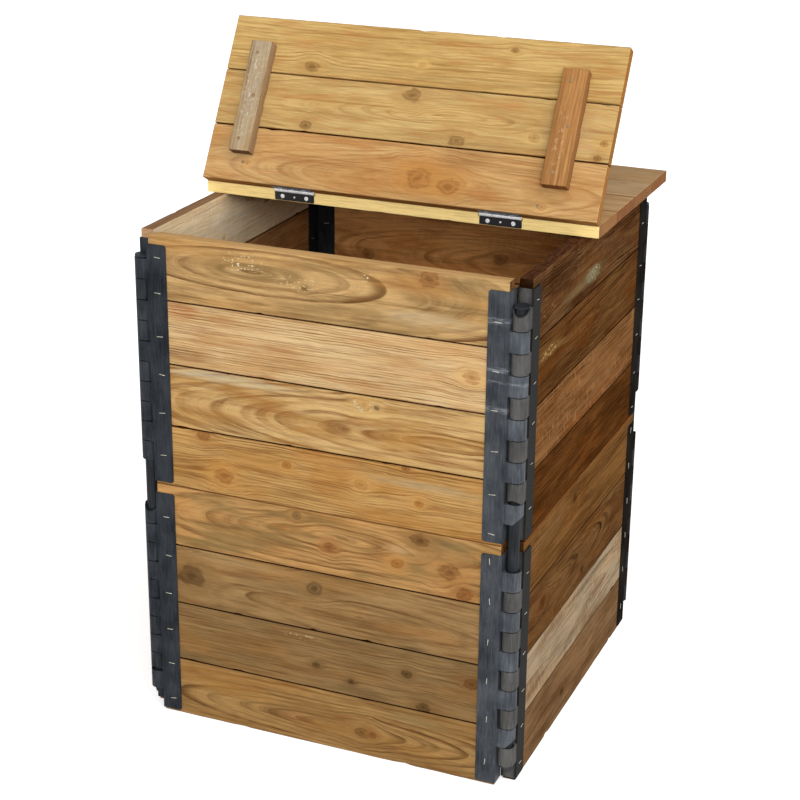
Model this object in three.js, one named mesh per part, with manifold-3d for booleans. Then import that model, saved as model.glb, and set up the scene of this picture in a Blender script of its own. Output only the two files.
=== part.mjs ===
// Compost bin: two stacked tiers of timber boards, joined at the corners by knuckled plastic profiles
// and ribbed rods, under a lid with a fixed rear half and a hinged flap. Millimetres, +Z up.
// The front of the bin faces -Y. The flap is drawn open.
import * as THREE from 'three';
import { mergeVertices } from 'three/addons/utils/BufferGeometryUtils.js';
import Module from 'manifold-3d';

const solids = await Module();
solids.setup();

// Driving dimensions of the walls
const boardLength = 552;
const boardThickness = 20;
const boardPitch = 97.5;
const boardGap = 1.5;
const boardEase = 1.5;
const boardsPerTier = 4;

// Driving dimensions of the corner profiles, which are U channels clipped over the board ends
const seat = 0.3;
const plasticWall = 2;
const leafReach = 29;
const leafRound = 4;
const leafRoundSteps = 3;
const profileFoot = 4;
const profileHeadGap = 15;

// Driving dimensions of the knuckles on the profiles
const pinInset = 10;
const knuckleClearance = 0.4;
const knuckleCount = 10;
const knuckleBase = 35;
const knuckleTopGap = 38;
const knuckleGap = 1.4;
const strapDepth = 8;
const deepChamfer = 12;
const shallowChamfer = 6;

// Driving dimensions of the rods through the knuckles
const rodRadius = 8.5;
const rodRibs = 10;
const ribDepth = 1.2;
const boreClearance = 0.3;
const rodTip = 19;
const capRadius = 11.8;
const capThickness = 3;
const roundSides = 12;

// Driving dimensions of the lid
const lidThickness = 18;
const lidBoardGap = 2;
const lidOverhangLeft = 10;
const lidOverhangRight = 22;
const lidOverhangFront = 20;
const lidOverhangRear = 12;
const flapDepth = 265;
const flapBoards = 3;
const rearBoards = 4;
const flapOpening = 120;

// Driving dimensions of the two battens under each half of the lid
const battenThickness = 20;
const battenLeftWidth = 35;
const battenRightWidth = 40;
const battenLeftClearance = 10.5;
const battenRightClearance = 4.5;
const battenFrontClearance = 3.5;
const battenRearClearance = 8;
const battenFromHinge = 43;
const battenSink = 0.5;

// Driving dimensions of the two butt hinges
const hingeLength = 66;
const hingeOffset = 167;
const hingePlate = 1;
const hingePlateGap = 0.4;
const hingePlateFoot = 1.5;
const barrelRadius = 3.2;
const barrelSegments = 3;
const barrelSegmentGap = 0.5;
const hingePinRadius = 1.3;
const stopSlack = 10;
const screwHoleOffset = 20;
const screwHoleRadius = 2.2;
const smallSides = 8;

// What one cut runs past the faces that it opens
const overrun = 1;

// Sizes worked out from the driving dimensions
const tierNames = ['lower', 'upper'];
const wallNames = ['front', 'right', 'rear', 'left'];
const cornerNames = ['front_left', 'front_right', 'rear_right', 'rear_left'];
const half = 0.5;
const quarterTurn = Math.PI * half;
const tierHeight = boardsPerTier * boardPitch;
const wallHeight = tierNames.length * tierHeight - boardGap;
const boardEnd = boardLength * half;
const knuckleRadius = pinInset + seat + plasticWall;
const webFace = boardEnd + seat + plasticWall;
const pinPlace = webFace + knuckleClearance + knuckleRadius;
const woodFace = pinPlace + pinInset;
const woodInner = woodFace - boardThickness;
const leafFace = woodFace + seat + plasticWall;
const innerLeafFace = woodInner - seat - plasticWall;
const leafEdge = boardEnd - leafReach;
const profileTop = tierHeight - profileHeadGap;
const knuckleTop = tierHeight - knuckleTopGap;
const knucklePitch = (knuckleTop - knuckleBase) / knuckleCount;
const boreRadius = (rodRadius + boreClearance) / Math.cos(Math.PI / roundSides);

const lidLeft = -woodFace - lidOverhangLeft;
const lidRight = woodFace + lidOverhangRight;
const lidCentre = (lidLeft + lidRight) * half;
const lidBottom = wallHeight + seat;
const lidTop = lidBottom + lidThickness;
const hingeGap = 2 * (seat + hingePlate) + hingePlateGap;
const flapFrontEdge = -woodFace - lidOverhangFront;
const flapRearEdge = flapFrontEdge + flapDepth;
const rearFrontEdge = flapRearEdge + hingeGap;
const rearRearEdge = woodFace + lidOverhangRear;
const hingeCentres = [lidCentre - hingeOffset, lidCentre + hingeOffset];
const hingeNames = ['left', 'right'];

// The hinge axis lies a little below the top of the lid, so that the edges meet just past the open place
const axisY = flapRearEdge + hingeGap * half;
const meetingAngle = quarterTurn - THREE.MathUtils.degToRad((flapOpening + stopSlack) * half);
const axisZ = lidTop - hingeGap * half * Math.tan(meetingAngle);
const plateTop = axisZ - barrelRadius - seat;

// The box round the bin and its lid gives the origin: its middle, on the ground
const originX = lidCentre;
const originY = (rearRearEdge - leafFace) * half;

// Materials
function paint(color, roughness, metalness = 0) {
  return new THREE.MeshStandardMaterial({ color, roughness, metalness });
}

const wallWood = {
  front: paint(0xb8894f, 0.8),
  right: paint(0x7c5431, 0.85),
  rear: paint(0x8a6139, 0.85),
  left: paint(0x8f7a5c, 0.85),
};
const lidWood = paint(0xc69a5a, 0.75);
const plastic = paint(0x3c4148, 0.55);
const rodPlastic = paint(0x30343a, 0.5);
const zinc = paint(0xc9ccd0, 0.3, 1);

// Basic shapes, each placed by its limits
function box([x0, x1], [y0, y1], [z0, z1]) {
  const shape = new THREE.BoxGeometry(x1 - x0, y1 - y0, z1 - z0);
  return shape.translate((x0 + x1) * half, (y0 + y1) * half, (z0 + z1) * half);
}

function uprightCylinder(radius, x, y, [z0, z1], sides = roundSides) {
  const shape = new THREE.CylinderGeometry(radius, radius, z1 - z0, sides);
  return shape.rotateX(quarterTurn).translate(x, y, (z0 + z1) * half);
}

function crossCylinder(radius, [x0, x1], y, z, sides = roundSides) {
  const shape = new THREE.CylinderGeometry(radius, radius, x1 - x0, sides);
  return shape.rotateZ(quarterTurn).translate((x0 + x1) * half, y, z);
}

const rising = (a, b) => [Math.min(a, b), Math.max(a, b)];

// A closed outline; a point that repeats the one before it is left out
function outline(points) {
  const distinct = points.filter(([x, y], place, all) => {
    const [beforeX, beforeY] = all.at(place - 1);
    return x !== beforeX || y !== beforeY;
  });
  return new THREE.Shape(distinct.map(([x, y]) => new THREE.Vector2(x, y)));
}

// An outline in x and y, raised from one height to another
function extrudeUp(points, [z0, z1]) {
  const shape = new THREE.ExtrudeGeometry(outline(points), { depth: z1 - z0, bevelEnabled: false });
  return shape.translate(0, 0, z0);
}

// An outline in y and z, drawn out along x
function extrudeAcross(points, [x0, x1]) {
  const shape = new THREE.ExtrudeGeometry(outline(points), { depth: x1 - x0, bevelEnabled: false });
  return shape.applyMatrix4(new THREE.Matrix4().set(0, 0, 1, x0, 1, 0, 0, 0, 0, 1, 0, 0, 0, 0, 0, 1));
}

// An outline in x and z, drawn out along y
function extrudeBack(points, [y0, y1]) {
  const shape = new THREE.ExtrudeGeometry(outline(points), { depth: y1 - y0, bevelEnabled: false });
  return shape.applyMatrix4(new THREE.Matrix4().set(1, 0, 0, 0, 0, 0, -1, y1, 0, 1, 0, 0, 0, 0, 0, 1));
}

// Joins and cuts
function toSolid(geometry) {
  const bare = geometry.clone();
  bare.deleteAttribute('normal');
  bare.deleteAttribute('uv');
  const merged = mergeVertices(bare);
  const vertProperties = new Float32Array(merged.attributes.position.array);
  const triVerts = new Uint32Array(merged.index.array);
  return new solids.Manifold(new solids.Mesh({ numProp: 3, vertProperties, triVerts }));
}

function toGeometry(solid) {
  const mesh = solid.getMesh();
  const positions = new Float32Array(mesh.vertProperties);
  const geometry = new THREE.BufferGeometry();
  geometry.setAttribute('position', new THREE.BufferAttribute(positions, mesh.numProp));
  geometry.setIndex(new THREE.BufferAttribute(new Uint32Array(mesh.triVerts), 1));
  return geometry;
}

function build(added, cut) {
  const joined = added.map(toSolid).reduce((whole, piece) => whole.add(piece));
  return toGeometry(cut.map(toSolid).reduce((whole, piece) => whole.subtract(piece), joined));
}

function addMesh(group, name, geometry, material) {
  const mesh = new THREE.Mesh(geometry, material);
  mesh.name = name;
  group.add(mesh);
  return mesh;
}

// A board's section, with its edges eased at the near and at the far side
function boardSection([y0, y1], [z0, z1], near = boardEase, far = boardEase) {
  return [
    [y0, z0 + near], [y0 + near, z0], [y1 - far, z0], [y1, z0 + far],
    [y1, z1 - far], [y1 - far, z1], [y0 + near, z1], [y0, z1 - near],
  ];
}

// The first knuckle of a profile's own is at the top of the run or one place down.
// The lower tier is the upper one mirrored.
function firstOwnKnuckle(tier, side) {
  return (tier === 'upper') === (side < 0) ? 0 : 1;
}

function knuckleSpan(row) {
  const top = knuckleTop - row * knucklePitch;
  return [top - knucklePitch + knuckleGap * half, top - knuckleGap * half];
}

// What a slope of 45 degrees takes off the free side of a knuckle, down or up from its end
function knuckleChamfer(side, end, depth, direction) {
  const inner = pinPlace + knuckleRadius - depth - overrun;
  const outer = pinPlace + knuckleRadius + overrun;
  const points = [
    [side * inner, end + direction * overrun],
    [side * outer, end - direction * (depth + overrun)],
    [side * outer, end + direction * overrun],
  ];
  return extrudeBack(points, [-leafFace - overrun, -innerLeafFace + overrun]);
}

// The knuckle runs end in slopes that leave the rod in view: at both ends of a side wall's profile
// that starts the run, and at the foot of the right-hand profile on the front and rear walls
function knuckleChamfers(wall, side, first, last) {
  const top = knuckleSpan(first)[1];
  const foot = knuckleSpan(last)[0];
  if (wall === 'left' || wall === 'right') {
    if (first > 0) return [];
    return [knuckleChamfer(side, top, deepChamfer, 1), knuckleChamfer(side, foot, shallowChamfer, -1)];
  }
  return side > 0 ? [knuckleChamfer(side, foot, deepChamfer, -1)] : [];
}

// What rounds the free corners of both leaves, at the head or at the foot of a profile
function leafCorner(side, end, direction) {
  const centreX = leafEdge + leafRound;
  const centreZ = end - direction * leafRound;
  const arc = Array.from({ length: leafRoundSteps + 1 }, (_, step) => {
    const angle = step * quarterTurn / leafRoundSteps;
    const x = centreX - leafRound * Math.cos(angle);
    return [side * x, centreZ + direction * leafRound * Math.sin(angle)];
  });
  const outside = [
    [side * centreX, end + direction * overrun],
    [side * (leafEdge - overrun), end + direction * overrun],
    [side * (leafEdge - overrun), centreZ],
  ];
  return extrudeBack([...arc, ...outside], [-leafFace - overrun, -innerLeafFace + plasticWall + overrun]);
}

// A profile clipped over the board ends: outer leaf, web and inner leaf, with its own knuckles
function cornerProfile(tier, wall, side) {
  const webInner = webFace - plasticWall;
  const channel = [
    [leafEdge, -leafFace], [webFace, -leafFace], [webFace, -innerLeafFace], [leafEdge, -innerLeafFace],
    [leafEdge, -innerLeafFace - plasticWall], [webInner, -innerLeafFace - plasticWall],
    [webInner, -leafFace + plasticWall], [leafEdge, -leafFace + plasticWall],
  ].map(([x, y]) => [side * x, y]);
  const rows = Array.from({ length: knuckleCount }, (_, row) => row)
    .filter((row) => row % 2 === firstOwnKnuckle(tier, side));
  const knuckles = rows.flatMap((row) => [
    uprightCylinder(knuckleRadius, side * pinPlace, -pinPlace, knuckleSpan(row)),
    box(rising(side * webInner, side * pinPlace), [-leafFace, -leafFace + strapDepth], knuckleSpan(row)),
  ]);
  const run = [knuckleBase - overrun, knuckleTop + overrun];
  const bore = uprightCylinder(boreRadius, side * pinPlace, -pinPlace, run);
  return build([extrudeUp(channel, [profileFoot, profileTop]), ...knuckles], [
    bore, ...knuckleChamfers(wall, side, rows[0], rows.at(-1)),
    leafCorner(side, profileTop, 1), leafCorner(side, profileFoot, -1),
  ]);
}

function buildTier(tier, index) {
  const group = new THREE.Group();
  group.position.z = index * tierHeight;
  wallNames.forEach((wall, quarter) => {
    const wallGroup = new THREE.Group();
    wallGroup.rotation.z = quarter * quarterTurn;
    group.add(wallGroup);
    const section = boardSection([-woodFace, -woodInner], [0, boardPitch - boardGap]);
    for (let row = 0; row < boardsPerTier; row += 1) {
      const shape = extrudeAcross(section, [-boardEnd, boardEnd]);
      const board = addMesh(wallGroup, `${tier}_${wall}_board_${row + 1}`, shape, wallWood[wall]);
      board.position.z = (boardsPerTier - 1 - row) * boardPitch;
    }
    addMesh(wallGroup, `${tier}_${wall}_left_profile`, cornerProfile(tier, wall, -1), plastic);
    addMesh(wallGroup, `${tier}_${wall}_right_profile`, cornerProfile(tier, wall, 1), plastic);
  });
  return group;
}

// A ribbed rod through the knuckles of both tiers, with a flat cap at its head and a slanted tip.
// It stands at the left end of the front wall.
function cornerRod() {
  const section = Array.from({ length: 2 * rodRibs }, (_, step) => {
    const angle = step * Math.PI / rodRibs;
    const radius = step % 2 ? rodRadius - ribDepth : rodRadius;
    return [-pinPlace + radius * Math.cos(angle), -pinPlace + radius * Math.sin(angle)];
  });
  const foot = knuckleBase - rodTip;
  const seatHeight = tierHeight + knuckleTop + seat;
  const reach = rodRadius + overrun;
  const slant = [
    [-pinPlace + reach, foot - overrun],
    [-pinPlace - reach, foot - overrun],
    [-pinPlace - reach, knuckleBase + overrun],
  ];
  return build([
    extrudeUp(section, [foot, seatHeight + capThickness * half]),
    uprightCylinder(capRadius, -pinPlace, -pinPlace, [seatHeight, seatHeight + capThickness]),
  ], [extrudeBack(slant, [-pinPlace - reach, -pinPlace + reach])]);
}

// One half of the lid: boards side by side, held by a batten near each end.
// The edge along the hinges stays square and is hollowed round the hinge barrels.
function lidPanel({ fixed, boards, limits, battens }) {
  const width = (limits[1] - limits[0] - (boards - 1) * lidBoardGap) / boards;
  const planks = Array.from({ length: boards }, (_, row) => {
    const y0 = limits[0] + row * (width + lidBoardGap);
    const nearEase = fixed && row === 0 ? 0 : boardEase;
    const farEase = !fixed && row === boards - 1 ? 0 : boardEase;
    const section = boardSection([y0, y0 + width], [lidBottom, lidTop], nearEase, farEase);
    return extrudeAcross(section, [lidLeft, lidRight]);
  });
  const leftSide = -innerLeafFace + battenLeftClearance;
  const rightSide = innerLeafFace - battenRightClearance;
  const battenHeights = [lidBottom - battenThickness, lidBottom + battenSink];
  const hollowReach = hingeLength * half + seat;
  const hollows = hingeCentres.map((centre) => (
    crossCylinder(barrelRadius + seat, [centre - hollowReach, centre + hollowReach], axisY, axisZ)));
  return build([
    ...planks,
    box([leftSide, leftSide + battenLeftWidth], battens, battenHeights),
    box([rightSide - battenRightWidth, rightSide], battens, battenHeights),
  ], hollows);
}

// A hinge plate against one edge of the lid, with its own segments of the barrel.
// The fixed plate carries the outer segments.
function hingePlateWithBarrel(centre, fixed) {
  const facing = fixed ? 1 : -1;
  const nearFace = axisY + facing * hingePlateGap * half;
  const yLimits = rising(nearFace, nearFace + facing * hingePlate);
  const foot = lidBottom + hingePlateFoot;
  const ends = [centre - hingeLength * half, centre + hingeLength * half];
  const segmentLength = hingeLength / barrelSegments;
  const segments = Array.from({ length: barrelSegments }, (_, segment) => segment)
    .filter((segment) => (segment % 2 === 0) === fixed)
    .map((segment) => [ends[0] + segment * segmentLength, ends[0] + (segment + 1) * segmentLength])
    .map(([x0, x1]) => [x0 + barrelSegmentGap * half, x1 - barrelSegmentGap * half]);
  const bore = crossCylinder((hingePinRadius + seat) / Math.cos(Math.PI / smallSides),
    [ends[0] - overrun, ends[1] + overrun], axisY, axisZ, smallSides);
  const screwHoles = [-1, 1].map((side) => (
    new THREE.CylinderGeometry(screwHoleRadius, screwHoleRadius, hingeGap, smallSides)
      .translate(centre + side * screwHoleOffset, axisY, (foot + plateTop) * half)));
  return build([
    box(ends, yLimits, [foot, plateTop]),
    ...segments.map((span) => crossCylinder(barrelRadius, span, axisY, axisZ)),
    ...segments.map((span) => box(span, yLimits, [plateTop - overrun, axisZ])),
  ], [bore, ...screwHoles]);
}

function buildLidHalf(group, design) {
  addMesh(group, design.panelName, lidPanel(design), lidWood);
  hingeCentres.forEach((centre, place) => {
    const name = `${hingeNames[place]}_hinge_${design.fixed ? 'fixed' : 'flap'}_plate`;
    addMesh(group, name, hingePlateWithBarrel(centre, design.fixed), zinc);
  });
}

const part = new THREE.Group();
const bin = new THREE.Group();
bin.position.set(-originX, -originY, 0);
part.add(bin);
tierNames.forEach((tier, index) => bin.add(buildTier(tier, index)));
cornerNames.forEach((corner, quarter) => {
  addMesh(bin, `${corner}_rod`, cornerRod(), rodPlastic).rotation.z = quarter * quarterTurn;
});

buildLidHalf(bin, {
  panelName: 'lid_rear_panel',
  fixed: true,
  boards: rearBoards,
  limits: [rearFrontEdge, rearRearEdge],
  battens: [rearFrontEdge + battenFromHinge, innerLeafFace - battenRearClearance],
});
hingeCentres.forEach((centre, place) => {
  const span = [centre - hingeLength * half, centre + hingeLength * half];
  const pin = crossCylinder(hingePinRadius, span, axisY, axisZ, smallSides);
  addMesh(bin, `${hingeNames[place]}_hinge_pin`, pin, zinc);
});

// The flap is drawn shut about the hinge axis, then opened
const flapPivot = new THREE.Group();
flapPivot.position.set(0, axisY, axisZ);
flapPivot.rotation.x = -THREE.MathUtils.degToRad(flapOpening);
bin.add(flapPivot);
const flap = new THREE.Group();
flap.position.set(0, -axisY, -axisZ);
flapPivot.add(flap);
buildLidHalf(flap, {
  panelName: 'flap_panel',
  fixed: false,
  boards: flapBoards,
  limits: [flapFrontEdge, flapRearEdge],
  battens: [-innerLeafFace + battenFrontClearance, flapRearEdge - battenFromHinge],
});

export default part;
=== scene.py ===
"""Compost bin: worn timber boards, moulded corners, staples, hinges and screws round the solid model.

Lengths are in metres. A board's own frame has X along the grain, Y across it and Z out of its face.
"""
import math
import random
from types import SimpleNamespace

import bmesh
import bpy
from mathutils import Matrix, Vector, noise


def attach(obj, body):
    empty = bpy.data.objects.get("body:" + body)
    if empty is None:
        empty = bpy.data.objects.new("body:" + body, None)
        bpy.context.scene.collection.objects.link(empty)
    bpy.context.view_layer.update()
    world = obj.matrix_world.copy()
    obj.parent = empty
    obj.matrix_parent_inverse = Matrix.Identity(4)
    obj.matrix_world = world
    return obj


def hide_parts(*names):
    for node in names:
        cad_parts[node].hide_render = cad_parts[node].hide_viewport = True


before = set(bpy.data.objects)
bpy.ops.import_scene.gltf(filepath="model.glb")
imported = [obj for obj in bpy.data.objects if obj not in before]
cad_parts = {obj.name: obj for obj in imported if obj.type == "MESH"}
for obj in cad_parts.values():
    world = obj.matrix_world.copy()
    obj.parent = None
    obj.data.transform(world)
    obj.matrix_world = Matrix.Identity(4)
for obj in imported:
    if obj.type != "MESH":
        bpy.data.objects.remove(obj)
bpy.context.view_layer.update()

MM = 0.001
HALF_TURN = math.pi
QUARTER_TURN = math.pi / 2

# Sizes of the walls
WALLS = ["front", "right", "rear", "left"]
TIERS = ["lower", "upper"]
ENDS = {"left": -1, "right": 1}
ROWS = 4
BIN_CENTRE = Vector((-6.0, -4.85, 0)) * MM
BOARD_LENGTH = 552 * MM
BOARD_WIDTH = 96 * MM
BOARD_PITCH = 97.5 * MM
BOARD_THICKNESS = 20 * MM
TIER_HEIGHT = ROWS * BOARD_PITCH
# How much of the seam above them the swollen boards fill
SEAM_SWELLING = {"front": 0.5 * MM, "right": 1.1 * MM, "rear": 0.5 * MM, "left": 0.5 * MM}
WOOD_FACE = 301 * MM
LEAF_FACE = 303.3 * MM
INNER_LEAF_FACE = 278.7 * MM

# Sizes of the corners
PIN_PLACE = 291 * MM
KNUCKLE_RADIUS = 12.3 * MM
BORE_RADIUS = 9.11 * MM
CAP_RADIUS = 11.8 * MM
ROUND_SIDES = 12
STAPLE_CROWN = 10 * MM
STAPLE_WIRE = 0.9 * MM
STAPLE_PLACE = 261 * MM
STAPLE_SINK = 0.15 * MM
STAPLE_STRAY = 1.5 * MM
STAPLE_TILT = 0.16
LEAF_RECESS = 0.35 * MM
# Between these distances from a pin, a painted highlight brightens the knuckles, and painted shade darkens
# the gaps in them
PAINTED_SHEEN_BAND = (17 * MM, 12.6 * MM)
PAINTED_SHADE_BAND = (12.1 * MM, 10.2 * MM)
SCUFF_SWAY = 8 * MM

# Sizes of the lid
LID_LEFT = -311 * MM
LID_RIGHT = 323 * MM
LID_BOTTOM = 778.8 * MM
LID_TOP = 796.8 * MM
LID_CENTRE = (LID_LEFT + LID_RIGHT) / 2
FLAP_LIMITS = (-320.4 * MM, -56 * MM)
REAR_LIMITS = (-53 * MM, 313 * MM)
LID_BOARD_GAP = 1.3 * MM
LET_IN = 5 * MM
HINGE_AXIS = Vector((0, -54.5, 796.1)) * MM
HINGE_OFFSET = 167 * MM
HINGE_LENGTH = 66 * MM
HINGE_PLATE = 1 * MM
HINGE_PLATE_GAP = 0.4 * MM
HINGE_FOOT = 780.3 * MM
HINGE_PLATE_TOP = 792.6 * MM
BARREL_RADIUS = 3.2 * MM
HINGE_PIN_RADIUS = 1.3 * MM
BARREL_SEGMENTS = 3
BARREL_SEGMENT_GAP = 0.5 * MM
BARREL_CHAMFER = 0.4 * MM
PIN_CLEARANCE = 0.1 * MM
NECK_HEIGHT = 3.4 * MM
NECK_RISE = 0.9 * MM
PLATE_CORNER_RADIUS = 1.8 * MM
# Where the two screws and the rivet between them lie along a plate, and their radii
HINGE_HEADS = ((-20 * MM, 3.3 * MM), (0, 1.5 * MM), (20 * MM, 3.3 * MM))
HINGE_HEAD_HEIGHT = 786.4 * MM
# Low heads, so that those of both plates pass in the gap when the flap is shut
HINGE_HEAD_FLATNESS = 0.4
FLAP_OPENING = math.radians(120)
BATTEN_THICKNESS = 20 * MM
LEFT_BATTEN = (-268.2 * MM, -233.2 * MM)
RIGHT_BATTEN = (234.2 * MM, 274.2 * MM)
FLAP_BATTENS = (-275.2 * MM, -99 * MM)
REAR_BATTENS = (-10 * MM, 270.7 * MM)
SCREW_RADIUS = 2.8 * MM
HEAD_EDGE = 0.25 * MM
HEAD_DOME = 0.2 * MM
HEAD_FOOT = -0.4 * MM
RECESS_FLOOR = -0.3 * MM

# Light and camera, with angles in degrees
STUDIO_LIGHT = 0.42
KEY_LIGHT = 1.8
KEY_SPREAD = 30
KEY_AZIMUTH = 20
KEY_ELEVATION = 23
FILL_LIGHT = 1.4
FILL_SPREAD = 60
FILL_AZIMUTH = 62
FILL_ELEVATION = 42
GROUND_GLOW = 0.45
GROUND_SIZE = 40
LENS = 84.57
SENSOR_WIDTH = 36
CAMERA_PLACE = (1.0524, -2.57275, 1.5266)
CAMERA_AZIMUTH = 22.5
CAMERA_DIP = 20.98
CAMERA_ROLL = 0.63

IN_PLACE = Matrix.Translation(BIN_CENTRE)
OPEN_FLAP = IN_PLACE @ Matrix.Translation(HINGE_AXIS) @ Matrix.Rotation(-FLAP_OPENING, 4, "X") @ (
    Matrix.Translation(-HINGE_AXIS))


def tone(red, green, blue):
    """A colour as a screen shows it, from 0 to 255, made linear."""
    shown = [part / 255 for part in (red, green, blue)]
    return tuple(((part + 0.055) / 1.055) ** 2.4 if part > 0.04 else part / 12.92 for part in shown) + (1.0,)


def toned(colour, factors):
    """A colour with its red, green and blue multiplied, and kept at or below 1."""
    return tuple(min(1.0, part * factor) for part, factor in zip(colour[:3], factors)) + (1.0,)


# Shader maths
class Value:
    """A socket in a material. Arithmetic on it adds Math nodes."""

    def __init__(self, finish, socket):
        self.finish = finish
        self.socket = socket

    def math(self, operation, *terms):
        return self.finish.node("Math", {"operation": operation}, dict(enumerate(terms)))

    def __add__(self, other):
        return self.math("ADD", self, other)

    def __radd__(self, other):
        return self.math("ADD", other, self)

    def __sub__(self, other):
        return self.math("SUBTRACT", self, other)

    def __rsub__(self, other):
        return self.math("SUBTRACT", other, self)

    def __mul__(self, other):
        return self.math("MULTIPLY", self, other)

    def __rmul__(self, other):
        return self.math("MULTIPLY", other, self)

    def __truediv__(self, other):
        return self.math("DIVIDE", self, other)

    def __abs__(self):
        return self.math("ABSOLUTE", self)

    def power(self, exponent):
        return self.math("POWER", self, exponent)

    def exponential(self):
        return self.math("EXPONENT", self)

    def fraction(self):
        return self.math("FRACT", self)

    def whole(self):
        return self.math("FLOOR", self)

    def rise(self, low, high):
        """0 below low and 1 above high, smooth between them, and the other way round where low is higher."""
        inputs = {"Value": self, "From Min": low, "From Max": high, "To Min": 0.0, "To Max": 1.0}
        return self.finish.node("MapRange", {"interpolation_type": "SMOOTHSTEP", "clamp": True}, inputs)


class Finish:
    """The nodes of a material, or of the world, in the making. One method adds any node."""

    def __init__(self, owner):
        self.owner = owner
        owner.use_nodes = True
        self.tree = owner.node_tree
        self.tree.nodes.clear()

    def node(self, kind, settings, inputs, output=0):
        made = self.tree.nodes.new("ShaderNode" + kind)
        for key, setting in settings.items():
            setattr(made, key, setting)
        for key, given in inputs.items():
            if isinstance(given, Value):
                self.tree.links.new(given.socket, made.inputs[key])
            else:
                made.inputs[key].default_value = given
        return Value(self, made.outputs[output]) if output is not None else None

    def place(self, home):
        """Where a point lies in the frame that home puts in its place."""
        point = self.node("TexCoord", {}, {}, "Object")
        settings = {"vector_type": "TEXTURE"}
        return self.node("Mapping", settings, {
            "Vector": point, "Location": home.to_translation(), "Rotation": home.to_euler()})

    def parts(self, vector):
        split = self.node("SeparateXYZ", {}, {"Vector": vector})
        return [Value(self, split.socket.node.outputs[axis]) for axis in "XYZ"]

    def joined(self, x, y, z):
        return self.node("CombineXYZ", {}, {"X": x, "Y": y, "Z": z})

    def stretched(self, vector, scales, shift):
        return self.node("VectorMath", {"operation": "MULTIPLY_ADD"}, {0: vector, 1: scales, 2: shift})

    def noise(self, vector, detail=2.0, roughness=0.5):
        inputs = {"Vector": vector, "Scale": 1.0, "Detail": detail, "Roughness": roughness}
        return self.node("TexNoise", {"noise_dimensions": "3D"}, inputs)

    def pattern(self, vector, scales, shift=(0, 0, 0), detail=2.0, roughness=0.5):
        """Noise with this many features to a unit along each axis."""
        return self.noise(self.stretched(vector, scales, shift), detail, roughness)

    def distance(self, x, y):
        """How far the point x, y is from 0, 0."""
        return self.node("VectorMath", {"operation": "LENGTH"}, {0: self.joined(x, y, 0.0)}, "Value")

    def mix(self, share, first, second, blend="MIX"):
        settings = {"data_type": "RGBA", "blend_type": blend, "clamp_factor": True}
        return self.node("Mix", settings, {0: share, 6: first, 7: second}, 2)

    def bump(self, height, strength, distance):
        return self.node("Bump", {}, {"Height": height, "Strength": strength, "Distance": distance})

    def seen(self):
        """1 for the rays that show what lies behind the object, and 0 for those that light it."""
        camera_ray = self.node("LightPath", {}, {}, "Is Camera Ray")
        rays = camera_ray.socket.node.outputs
        seen = camera_ray.math("MAXIMUM", camera_ray, Value(self, rays["Is Glossy Ray"]))
        return seen.math("MAXIMUM", seen, Value(self, rays["Is Transmission Ray"]))

    def grey(self, level):
        return self.joined(level, level, level)

    def surface(self, colour, roughness, specular, normal=None, metallic=0.0, glow=None):
        inputs = {"Base Color": colour, "Roughness": roughness, "Metallic": metallic,
                  "Specular IOR Level": specular}
        if normal is not None:
            inputs["Normal"] = normal
        if glow is not None:
            inputs.update({"Emission Color": glow, "Emission Strength": 1.0})
        return self.node("BsdfPrincipled", {}, inputs)

    def close(self, shader, kind="OutputMaterial"):
        self.node(kind, {}, {"Surface": shader}, None)
        return self.owner


def new_finish(name):
    return Finish(bpy.data.materials.new(name))


# How each board looks
def board_look(light, dark, ring=5.0, heart=(0, -150), slope=0.05, contrast=0.75, sway=8.0, stain=None,
               stain_share=0.45, knots=(), patches=(), sawn=0.0, end=None, edge=None, warm=0.5, seam_grime_and_shade=0.7,
               rough=0.4):
    """How a board looks, in millimetres from the middle of its face, along the grain and then across it.

    ring is the width of a growth ring, heart the middle of the rings, slope how it leans in the thickness
    of the board, and sway how far the grain wanders. A knot is its place, its radius and its tones. A patch
    is its place, half its length and width, its colour and strength, and what breaks up its colour.
    sawn, warm, dirt and rough are the strength of saw marks, warmer wood, grime with painted shade in the
    seams, and a worn top edge.
    """
    return SimpleNamespace(
        light=light, dark=dark, ring=ring, heart=heart, slope=slope, contrast=contrast, sway=sway,
        stain=stain or dark, stain_share=stain_share, knots=knots, patches=patches, sawn=sawn,
        end=end or dark, edge=edge or toned(dark, (0.45, 0.38, 0.32)), warm=warm, seam_grime_and_shade=seam_grime_and_shade, rough=rough)


# Shares of a board's light colour in the wood of a knot, in its rim and middle, and round it
RED_KNOT = ((0.6, 0.42, 0.32), (0.24, 0.14, 0.11), (0.72, 0.56, 0.46))
DARK_KNOT = ((0.4, 0.34, 0.3), (0.1, 0.08, 0.07), (0.6, 0.55, 0.5))
PALE_KNOT = ((0.95, 0.84, 0.72), (0.62, 0.47, 0.36), (1.1, 1.05, 0.95))
FLAME_KNOT = ((0.82, 0.6, 0.4), (0.36, 0.2, 0.14), (0.86, 0.66, 0.44))
ORANGE_KNOT = ((0.8, 0.56, 0.38), (0.34, 0.19, 0.13), (1.0, 0.86, 0.66))
BROWN_KNOT = ((0.6, 0.47, 0.38), (0.18, 0.12, 0.1), (0.78, 0.68, 0.6))
GREY_KNOT = ((0.55, 0.56, 0.6), (0.1, 0.09, 0.09), (0.74, 0.68, 0.6))

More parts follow.
